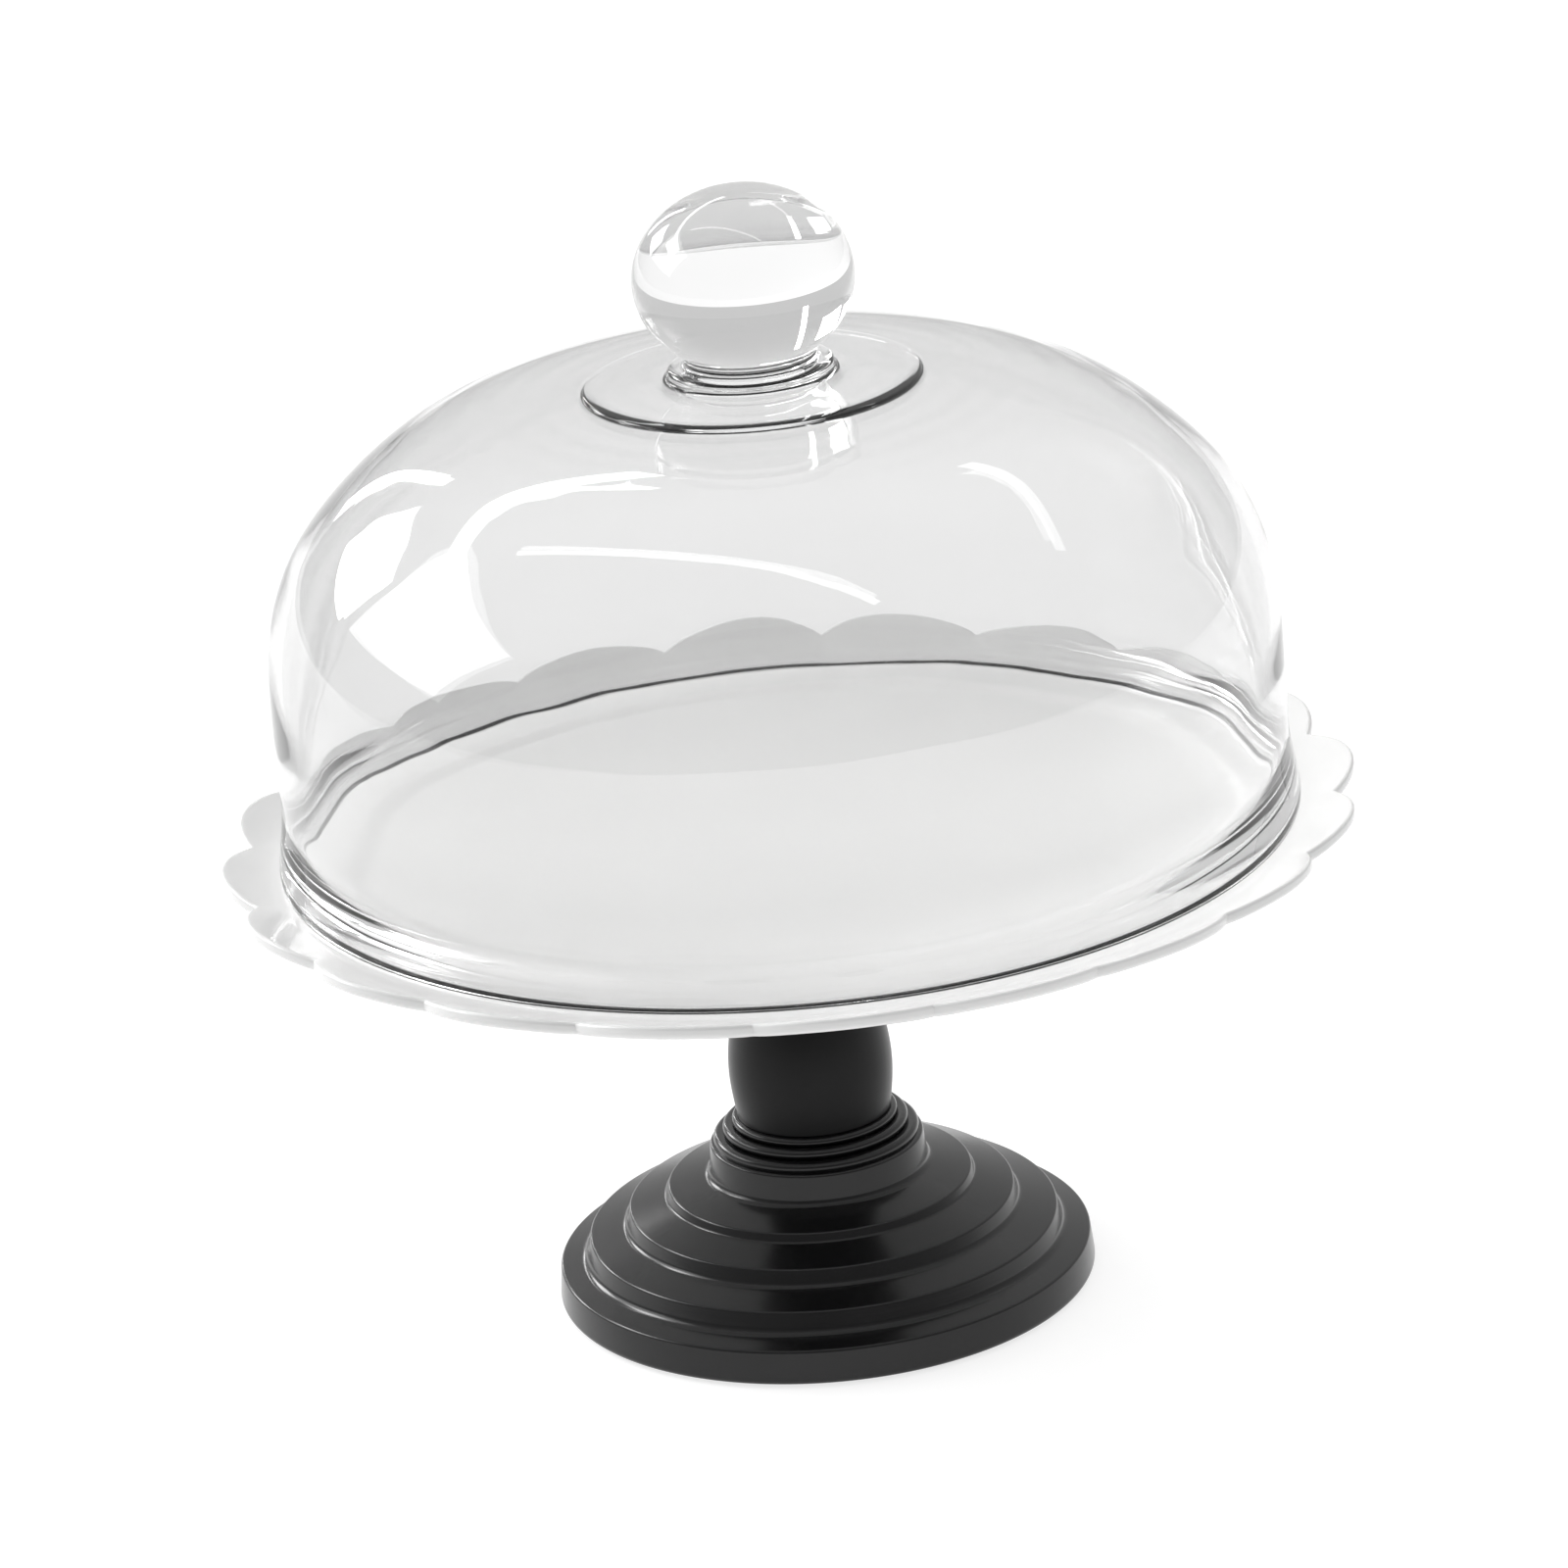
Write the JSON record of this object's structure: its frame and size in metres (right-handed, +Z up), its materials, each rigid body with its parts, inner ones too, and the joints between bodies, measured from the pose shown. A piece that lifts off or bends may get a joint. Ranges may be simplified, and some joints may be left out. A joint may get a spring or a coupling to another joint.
{
  "type": "cake stand",
  "caption": "Footed round cake stand with a scalloped white plate, a stepped black turned pedestal and a lift-off clear glass dome with a ball knob.",
  "frame": {"origin": "centre of the circle of felt pads, in the plane that the stand rests on", "axes": "+Z up along the turned axis; +X and +Y lie across the round plate, with the plate's petal notches repeating every 18 degrees from -5.4 degrees off +X"},
  "size_m": [0.3005, 0.3006, 0.3053],
  "materials": {
    "clear_glass": "clear, fire-polished",
    "white_glaze": "glossy white glaze",
    "black_lacquer": "satin black lacquer on turned wood",
    "brass": "plain machined",
    "zinc_steel": "zinc plated",
    "dark_rubber": "matt",
    "black_felt": "pressed felt"
  },
  "bodies": {
    "stand": {"serving_plate": "white_glaze", "pedestal_column": "black_lacquer", "pedestal_base": "black_lacquer", "threaded_insert": "brass", "plate_gasket": "dark_rubber", "tie_bolt": "zinc_steel", "spring_washer": "zinc_steel", "flat_washer": "zinc_steel", "foot_pad_1": "black_felt", "foot_pad_2": "black_felt", "foot_pad_3": "black_felt", "foot_pad_4": "black_felt"},
    "dome": {"glass_dome_wall": "clear_glass", "glass_dome_crown": "clear_glass", "dome_knob": "clear_glass"}
  },
  "joints": [
    {"name": "dome_lift", "type": "slide", "parent": "stand", "child": "dome", "axis": [0, 0, 1], "range_m": [0, 0.25]}
  ]
}
